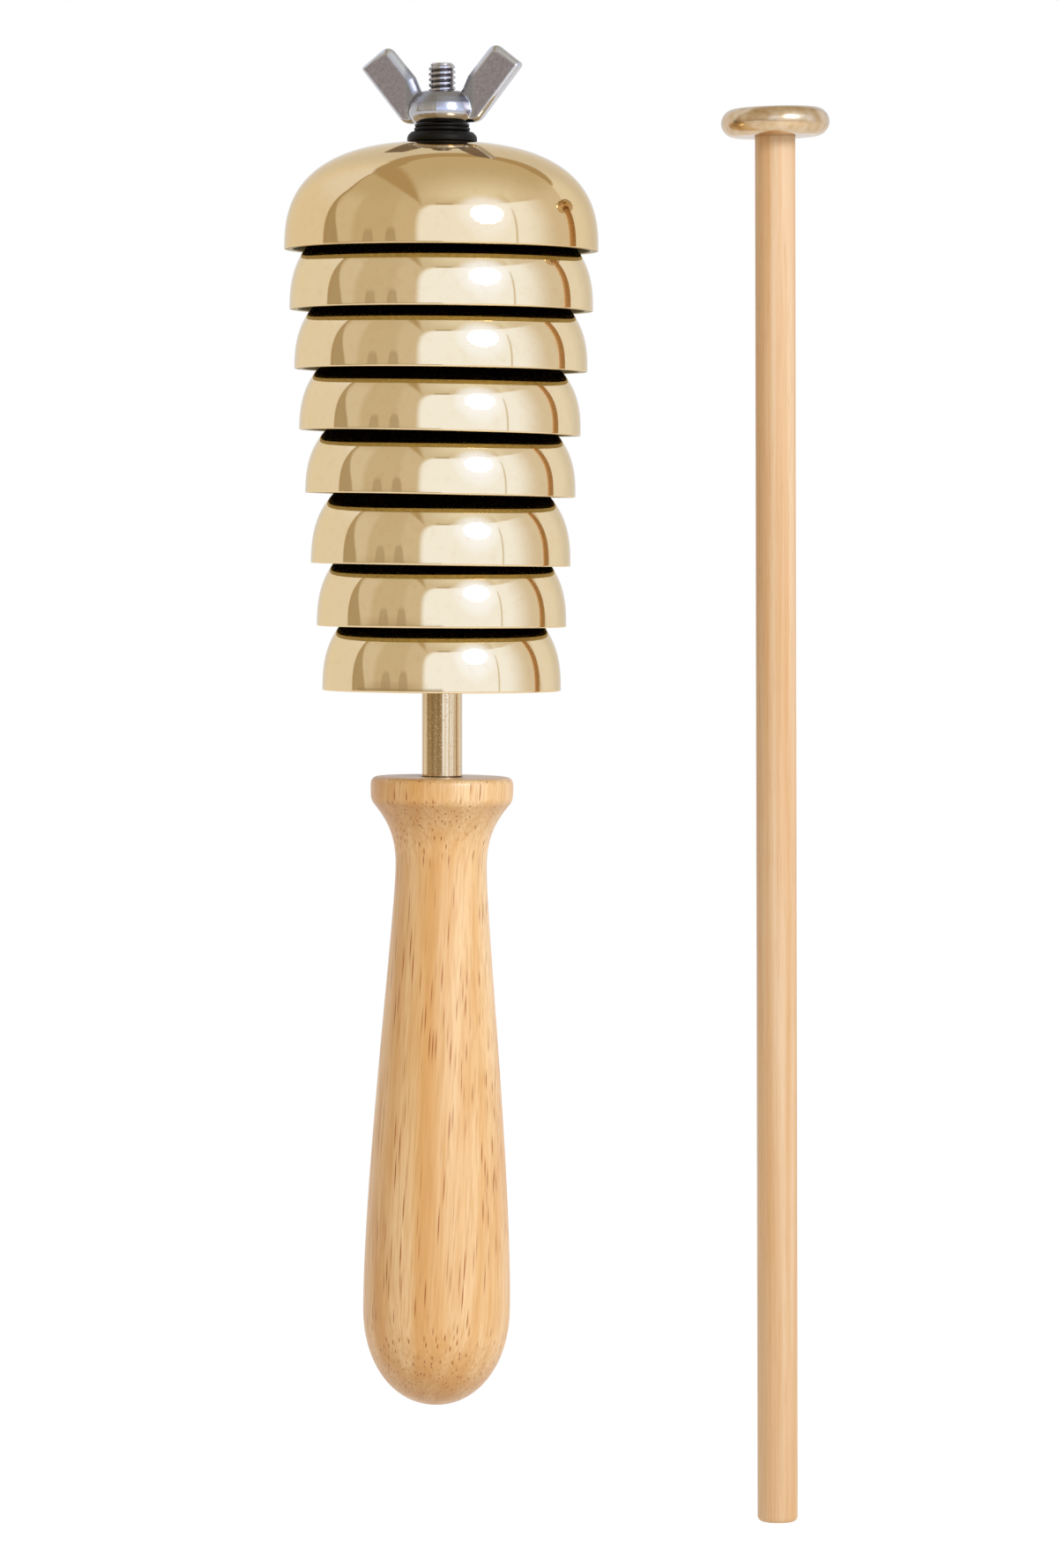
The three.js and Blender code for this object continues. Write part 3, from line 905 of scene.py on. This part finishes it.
def wing_blank(side):
    """One wing as a flat plate with a rolled edge all round. Side is 1 or -1."""
    outline = [
        (4.4, 0.0),
        (9.3, 0.0),
        (20.2, 13.45),
        (13.3, 18.75),
        (6.8, 11.0),
        (5.5, 8.0),
        (4.4, 6.5),
    ]
    thickness = 3.8
    bm = bmesh.new()
    points = [bm.verts.new((side * x * MM, -thickness / 2 * MM, z * MM)) for x, z in outline]
    face = bm.faces.new(points)
    grown = bmesh.ops.extrude_face_region(bm, geom=[face])
    far = [item for item in grown["geom"] if isinstance(item, bmesh.types.BMVert)]
    bmesh.ops.translate(bm, verts=far, vec=(0, thickness * MM, 0))
    uprights = [e for e in bm.edges if abs(e.verts[0].co.y - e.verts[1].co.y) > MM]
    # Each corner lies between two distances from the axis and has its own rounding
    for low, high, rounding in ((19, 21, 0.8), (12, 14, 1.9), (9, 10, 1.4)):
        corner = [
            e for e in uprights if e.is_valid and low * MM < abs(e.verts[0].co.x) < high * MM
        ]
        bmesh.ops.bevel(
            bm,
            geom=corner,
            offset=rounding * MM,
            offset_type="OFFSET",
            segments=5,
            profile=0.5,
            affect="EDGES",
            material=-1,
        )
    # The roll is widest on the edge that faces the other wing. Its profile is below a quarter
    # circle, which leaves a crease where it meets the flat face.
    share = bm.edges.layers.float.new("bevel_weight_edge")
    for edge in bm.edges:
        if abs(edge.verts[0].co.y - edge.verts[1].co.y) < 0.01 * MM:
            middle = (edge.verts[0].co + edge.verts[1].co) / 2 / MM
            inner = middle.z > 1.2 * abs(middle.x) + 0.2
            tip = middle.z > 13 and not inner
            edge[share] = 1.0 if inner else 0.6 if tip else 0.42
    blank = loose(bm, "wing_blank")
    roll = blank.modifiers.new("roll", "BEVEL")
    roll.limit_method, roll.use_clamp_overlap = "WEIGHT", False
    roll.width, roll.segments, roll.profile = 1.7 * MM, 6, 0.36
    return blank


def cast_solid(body):
    """The mesh that an object's modifiers leave, ready for more work."""
    melted = bpy.data.meshes.new_from_object(
        body.evaluated_get(bpy.context.evaluated_depsgraph_get())
    )
    bm = bmesh.new()
    bm.from_mesh(melted)
    return bm


def wing_nut():
    """The die-cast wing nut: a domed hub with a bevelled foot, and two wings that flow into it."""
    hub_corners = [
        (0, 0),
        (6.5, 0, 0.3),
        (7.8, 1.15, 0.8),
        (8.15, 2.4, 0.25),
        (8.1, 3.1, 0.3),
        (7.75, 4.6),
        (6.85, 6.0),
        (5.6, 7.1),
        (4.4, 7.5, 0.3),
        (0, 7.5),
    ]
    hub = loose(turned(hub_corners, steps=96), "wing_nut_cast")
    wings = [wing_blank(side) for side in (1, -1)]
    for wing in wings:
        join = hub.modifiers.new("join", "BOOLEAN")
        join.operation, join.solver, join.object = "UNION", "EXACT", wing
    skin = hub.modifiers.new("skin", "REMESH")
    skin.mode, skin.voxel_size = "VOXEL", 0.18 * MM
    bm = cast_solid(hub)
    for _ in range(2):
        bmesh.ops.smooth_vert(
            bm, verts=bm.verts, factor=0.5, use_axis_x=True, use_axis_y=True, use_axis_z=True
        )
    # The seam of the mould stands out a little on the hub
    seam, half_seam, seam_foot, seam_top, seam_growth = math.radians(11.5), 0.11, 0.8, 7, 1.007
    for vert in bm.verts:
        beside = vert.co.x * math.cos(seam) + vert.co.y * math.sin(seam)
        if abs(beside) < half_seam * MM and seam_foot * MM < vert.co.z < seam_top * MM:
            vert.co.xy *= seam_growth
    casting = loose(bm, "wing_nut_melted")
    drill_corners = [(0, -2), (ROD_BORE, -2), (ROD_BORE, 7.15), (3.9, 7.7), (3.9, 9.5), (0, 9.5)]
    drill = loose(turned(drill_corners, steps=64), "nut_drill")
    bore = casting.modifiers.new("bore", "BOOLEAN")
    bore.operation, bore.solver, bore.object = "DIFFERENCE", "EXACT", drill
    bm = cast_solid(casting)
    # The wings' flat faces keep the grain of the mould, and the hub a quarter of it. The hub
    # is darker and duller, most of all on its dome.
    hub_grain, hub_reach, dome_foot = 0.25, 8.3, 3.0
    bm.normal_update()
    grain = bm.verts.layers.float.new("cast_grain")
    darkening = bm.verts.layers.float.new("hub_darkening")
    for vert in bm.verts:
        on_wing = min(max(math.hypot(vert.co.x, vert.co.y) / MM - hub_reach, 0), 1)
        flat = min(max((abs(vert.normal.y) - 0.93) / 0.05, 0), 1)
        vert[grain] = hub_grain + on_wing * (flat - hub_grain)
        on_dome = min(max(vert.co.z / MM - dome_foot, 0) / 1.5, 1)
        vert[darkening] = (0.1 + 0.6 * on_dome) * (1 - on_wing)
    for helper in (hub, *wings, casting, drill):
        bpy.data.objects.remove(helper)
    place = upright(0, NUT_BASE) @ Matrix.Rotation(math.radians(NUT_TURN), 4, "Z")
    return settled(
        bm, "wing_nut_plated", "wing_nut", [NICKEL], ["wing_nut"], place, sharp=50
    )


def striker():
    """The striker: a sealed dowel with a round-edged brass disc on its end."""
    low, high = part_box("striker_stick")
    foot, top = low.z / MM, high.z / MM
    stick, stick_round = 4.75, 1.2
    corners = [(0, foot), (stick, foot, stick_round), (stick, top), (0, top)]
    evened(
        settled(
            turned(corners, steps=64),
            "striker_dowel",
            "striker",
            [DOWEL_WOOD],
            ["striker_stick"],
            upright(STRIKER_OFFSET, 0, STRIKER_LEAN),
        )
    )
    thickness, radius, socket, socket_depth, edge_steps = 6.7, 12.8, 4.95, 4.5, 16
    edge = thickness / 2
    corners = [(0, socket_depth), (socket, socket_depth), (socket, 0, 0.3)]
    for i in range(edge_steps + 1):
        angle = (i / edge_steps - 0.5) * math.pi
        corners.append((radius - edge + edge * math.cos(angle), edge + edge * math.sin(angle)))
    corners.append((0, thickness))
    return settled(
        turned(corners, steps=96),
        "striker_disc",
        "striker",
        [HEAD_BRASS],
        ["striker_head"],
        upright(HEAD_OFFSET, HEAD_FOOT, HEAD_LEAN),
    )


for number, (diameter, height, lean) in enumerate(BELLS, start=1):
    crown = upright(0, TOP_CROWN - CROWN_PITCH * (number - 1), lean)
    bell(number, diameter, height, crown)
    grommet(number, crown)
for number in range(1, len(BELLS)):
    sleeve(f"spacer_{number}", 0.3, NYLON)
sleeve("support_tube", 0.3, TUBE_BRASS)
sleeve("base_washer", 0.2, STEEL)
nut_washer()
handle()
spindle_rod()
wing_nut()
striker()
# The insert is hidden in the handle, so its CAD solid stays and only gets its finish
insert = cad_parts["handle_insert"]
insert.data.materials.clear()
insert.data.materials.append(STEEL)


# ---- Studio


def studio_world():
    """The studio as the brass shows it: a white sweep behind the object that wraps round to its
    left, a window in front, warm walls, and a ceiling that the lamp brightens.

    Each zone lies over the ones before it. A zone's edges are (value, outside, inside).
    """
    world = bpy.data.worlds.new("studio")
    scene.world = world
    world.use_nodes = True
    tree = world.node_tree
    tree.nodes.clear()

    def span(value, low, high, soft):
        """The two soft edges of a zone that reaches from one value to another."""
        return (value, low - soft, low + soft), (value, high + soft, high - soft)

    def covering(edges, share=1.0):
        """How much a zone covers: nothing outside an edge, and its share inside them all."""
        for value, outside, inside in edges:
            edge = add_node(
                tree,
                "ShaderNodeMapRange",
                {"Value": value, "From Min": outside, "From Max": inside},
                interpolation_type="SMOOTHSTEP",
            ).outputs[0]
            share = add_node(
                tree, "ShaderNodeMath", {0: share, 1: edge}, operation="MULTIPLY"
            ).outputs[0]
        return share

    def covered(under, colour, edges, share=1.0):
        """What is there, with a zone of one colour over it."""
        over = (*colour, 1.0) if isinstance(colour, tuple) else colour
        inputs = {0: covering(edges, share), 6: under, 7: over}
        return add_node(tree, "ShaderNodeMix", inputs, data_type="RGBA").outputs[2]

    def bulge(angle, middle, half, onto):
        """Adds to a value a curve that is flat in the middle and reaches 1 at half its width."""
        off = add_node(
            tree, "ShaderNodeMath", {0: angle, 1: middle}, operation="SUBTRACT"
        ).outputs[0]
        curve = add_node(tree, "ShaderNodeMath", {0: off, 1: 4.0}, operation="POWER").outputs[0]
        return add_node(
            tree,
            "ShaderNodeMath",
            {0: curve, 1: half**-4, 2: onto},
            operation="MULTIPLY_ADD",
        ).outputs[0]

    # Angles in degrees. Azimuth is 0 in front and grows to the right, and it is measured from
    # behind, too, where the sweep stands.
    direction = add_node(tree, "ShaderNodeTexCoord").outputs["Generated"]
    to_right, to_back, up = add_node(tree, "ShaderNodeSeparateXYZ", {0: direction}).outputs
    to_front = add_node(
        tree, "ShaderNodeMath", {0: to_back, 1: -1.0}, operation="MULTIPLY"
    ).outputs[0]
    angles = []
    for operation, inputs in (
        ("ARCTAN2", {0: to_right, 1: to_front}),
        ("ARCTAN2", {0: to_right, 1: to_back}),
        ("ARCSINE", {0: up}),
    ):
        angle = add_node(tree, "ShaderNodeMath", inputs, operation=operation).outputs[0]
        inputs = {0: angle, 1: math.degrees(1)}
        angles.append(add_node(tree, "ShaderNodeMath", inputs, operation="MULTIPLY").outputs[0])
    azimuth, behind, elevation = angles

    # Walls and ceiling, brighter round the lamp
    lamp_side = add_node(
        tree, "ShaderNodeVectorMath", {0: direction, 1: LAMP_SIDE}, operation="DOT_PRODUCT"
    ).outputs["Value"]
    near_lamp = add_node(
        tree, "ShaderNodeMapRange", {"Value": lamp_side, "From Min": 0.1}
    ).outputs[0]
    bloom = add_node(tree, "ShaderNodeMath", {0: near_lamp, 1: 3.0}, operation="POWER").outputs[0]
    view = covered((0.72, 0.66, 0.54, 1.0), (1.15, 1.25, 1.35), (), bloom)
    under_ceiling = (elevation, 50, 30)
    for left, right, soft, colour in WALLS:
        view = covered(view, colour, (*span(azimuth, left, right, soft), under_ceiling))
    # Two doorways with arched tops
    for middle, half, top in ((-54.5, 3.01, 8.0), (-36.5, 2.675, 9.0)):
        arch = (bulge(azimuth, middle, half, elevation), top + 3, top - 1)
        view = covered(view, (0.58, 0.51, 0.40), (arch,), 0.85)
    # The near side of the sweep's frame, wider towards the floor
    leaning = add_node(
        tree, "ShaderNodeMath", {0: elevation, 1: 0.45, 2: azimuth}, operation="MULTIPLY_ADD"
    ).outputs[0]
    jamb = (*span(leaning, -120, -78.5, 1.2), under_ceiling)
    view = covered(view, (0.56, 0.48, 0.35), jamb)

    # A dark beam under the ceiling, from front to back over the left. It widens upwards.
    off_beam = add_node(
        tree,
        "ShaderNodeVectorMath",
        {0: direction, 1: (0.926, 0, 0.378)},
        operation="DOT_PRODUCT",
    ).outputs["Value"]
    off_beam = add_node(tree, "ShaderNodeMath", {0: off_beam}, operation="ABSOLUTE").outputs[0]
    widened = add_node(
        tree, "ShaderNodeMath", {0: up, 1: 0.30, 2: -0.165}, operation="MULTIPLY_ADD"
    ).outputs[0]
    in_beam = add_node(
        tree, "ShaderNodeMath", {0: widened, 1: off_beam}, operation="SUBTRACT"
    ).outputs[0]
    view = covered(view, (0.57, 0.46, 0.30), ((in_beam, -0.03, 0.04),))

    # The window, whose left half is rounded
    corners = bulge(azimuth, 26.0, 41.0, bulge(elevation, 8.0, 27.0, 0.0))
    rounded = add_node(
        tree,
        "ShaderNodeMath",
        {0: covering(((azimuth, 20, 30),)), 1: covering(((corners, 1.55, 0.85),))},
        operation="MAXIMUM",
    ).outputs[0]
    window = (*span(azimuth, -60, 81, 17), (elevation, 34.5, 32.5))
    view = covered(view, (1.22, 1.41, 1.85), window, rounded)
    frame_bar = (*span(azimuth, -4, 10, 1.5), *span(elevation, 33.6, 35.2, 0.6))
    view = covered(view, (0.48, 0.40, 0.28), frame_bar, 0.85)
    lamp_stand = (*span(azimuth, 57.4, 59.0, 0.6), (elevation, 28, 24))
    view = covered(view, (0.80, 0.76, 0.66), lamp_stand, 0.85)
    glow = (lamp_side, math.cos(math.radians(24)), math.cos(math.radians(11)))
    view = covered(view, (1.32, 1.60, 2.40), (glow,), 0.85)
    skirting = (*span(azimuth, -75, -22, 14), (elevation, 4, 0))
    view = covered(view, (0.52, 0.43, 0.32), skirting, 0.5)
    sideboard = (*span(azimuth, -88, 2, 2), (elevation, 0.6, -0.8))
    view = covered(view, (0.42, 0.34, 0.22), sideboard)

    # The white sweep inside its own dark edge. Its top slopes down to the right, its right side
    # bows and its left side turns in towards the top.
    slope = add_node(
        tree,
        "ShaderNodeMapRange",
        {"Value": behind, "From Min": -35.0, "From Max": 50.0, "To Min": 60.0, "To Max": 37.0},
    ).outputs[0]
    under_top = add_node(
        tree, "ShaderNodeMath", {0: slope, 1: elevation}, operation="SUBTRACT"
    ).outputs[0]
    sides = []
    for start, lowest, bend in ((12.0, -90.0, 0.02), (40.0, 0.0, -0.05)):
        above = add_node(
            tree, "ShaderNodeMath", {0: elevation, 1: start}, operation="SUBTRACT"
        ).outputs[0]
        above = add_node(
            tree, "ShaderNodeMath", {0: above, 1: lowest}, operation="MAXIMUM"
        ).outputs[0]
        above = add_node(tree, "ShaderNodeMath", {0: above, 1: 2.0}, operation="POWER").outputs[0]
        inputs = {0: above, 1: bend, 2: behind}
        sides.append(
            add_node(tree, "ShaderNodeMath", inputs, operation="MULTIPLY_ADD").outputs[0]
        )
    # The window's light cools the paper's sides, and its middle stands in the object's shade
    paper = covered((1.0, 1.0, 1.0, 1.0), (1.04, 1.09, 1.18), ((behind, -50, 20),))
    paper = covered(paper, (0.85, 0.89, 0.98), span(behind, -28, 40, 14))
    paper = covered(paper, (1.05, 1.11, 1.28), ((behind, -30, -55), (elevation, 22, 42)))
    for wider, higher, colour in ((3.5, 9.0, (0.56, 0.46, 0.32)), (0.0, 0.0, paper)):
        top = (under_top, -1.2 - higher, 1.2 - higher)
        right_side = (sides[0], 70.0, 68.5)
        left_side = (sides[1], -85.0 - wider, -83.5 - wider)
        view = covered(view, colour, (top, right_side, left_side))

    rays = add_node(tree, "ShaderNodeLightPath").outputs
    shiny = add_node(
        tree,
        "ShaderNodeMath",
        {0: rays["Is Glossy Ray"], 1: rays["Is Transmission Ray"]},
        operation="MAXIMUM",
    ).outputs[0]
    # What falls on matt surfaces has bounced off the warm walls first
    level = covered((0.745, 0.64, 0.50, 1.0), (1.0, 1.0, 1.0), (), shiny)
    lit = add_node(
        tree, "ShaderNodeMix", {0: 1.0, 6: view, 7: level}, data_type="RGBA", blend_type="MULTIPLY"
    ).outputs[2]
    around = add_node(tree, "ShaderNodeBackground", {"Color": lit}).outputs[0]
    white = add_node(
        tree, "ShaderNodeBackground", {"Color": (1.0, 1.0, 1.0, 1.0), "Strength": 1.0}
    ).outputs[0]
    seen = add_node(
        tree, "ShaderNodeMixShader", {0: rays["Is Camera Ray"], 1: around, 2: white}
    ).outputs[0]
    add_node(tree, "ShaderNodeOutputWorld", {0: seen})


def floor_paper():
    """Matt white paper. Some light of its own keeps it white to the eye and in the metal."""
    finish, tree, shader, place = new_finish("floor_paper", Metallic=0.0, Roughness=0.9)
    # The paper's tooth is about 1 mm wide
    tooth = add_node(
        tree, "ShaderNodeTexNoise", {"Vector": place, "Scale": 900.0, "Detail": 2.0}
    ).outputs["Fac"]
    colour = add_node(
        tree, "ShaderNodeMix", {0: tooth, 6: "#f3f3f2", 7: "#f8f8f7"}, data_type="RGBA"
    ).outputs[2]
    rays = add_node(tree, "ShaderNodeLightPath").outputs
    looked_at = rays["Is Camera Ray"]
    for kind in ("Is Glossy Ray", "Is Transmission Ray"):
        looked_at = add_node(
            tree, "ShaderNodeMath", {0: looked_at, 1: rays[kind]}, operation="MAXIMUM"
        ).outputs[0]
    glow = add_node(tree, "ShaderNodeMapRange", {"Value": looked_at, "To Max": 0.6}).outputs[0]
    # Cooler than the light that falls on it, so that the two together are a plain white
    shader.inputs["Emission Color"].default_value = (0.68, 0.81, 1.0, 1.0)
    set_inputs(shader, {"Base Color": colour, "Emission Strength": glow})
    return finish


def floor():
    """A plain pale floor, a hand's breadth below the striker's foot."""
    bm = bmesh.new()
    bmesh.ops.create_grid(bm, x_segments=1, y_segments=1, size=4.0)
    mesh = bpy.data.meshes.new("floor")
    bm.to_mesh(mesh)
    bm.free()
    mesh.materials.append(floor_paper())
    ground = bpy.data.objects.new("floor", mesh)
    ground.location.z = FLOOR_HEIGHT * MM
    scene.collection.objects.link(ground)


def softbox(name, azimuth, elevation, distance, size, power, aim):
    """A soft lamp that faces the object. Azimuth 0 is the front, and 90 the right."""
    lamp = bpy.data.lights.new(name, "AREA")
    lamp.shape, lamp.size, lamp.size_y, lamp.energy = "ELLIPSE", *size, power
    holder = bpy.data.objects.new(name, lamp)
    turn, rise = math.radians(azimuth), math.radians(elevation)
    away = Vector(
        (math.sin(turn) * math.cos(rise), -math.cos(turn) * math.cos(rise), math.sin(rise))
    )
    holder.location = Vector(aim) + away * distance
    holder.rotation_euler = away.to_track_quat("Z", "Y").to_euler()
    scene.collection.objects.link(holder)


def camera():
    """The photograph's view: level with the fifth bell from 1.4 m away, through a long lens.

    The lens is shifted so that the frame reaches down to the striker's foot.
    """
    lens = bpy.data.cameras.new("camera")
    lens.sensor_fit, lens.sensor_height, lens.lens = "VERTICAL", 36.0, 136.3
    lens.shift_y = -0.1583
    lens.clip_end = 20.0
    holder = bpy.data.objects.new("camera", lens)
    holder.location = (0.0205, -1.4, 0.1398)
    holder.rotation_euler = (math.pi / 2, 0, 0)
    scene.collection.objects.link(holder)
    scene.camera = holder


scene.view_settings.view_transform = "Standard"
studio_world()
floor()
softbox(
    "key_softbox",
    azimuth=35.5,
    elevation=24.6,
    distance=1.29,
    size=(0.54, 0.42),
    power=7.1,
    aim=(0, 0, 0.15),
)
camera()
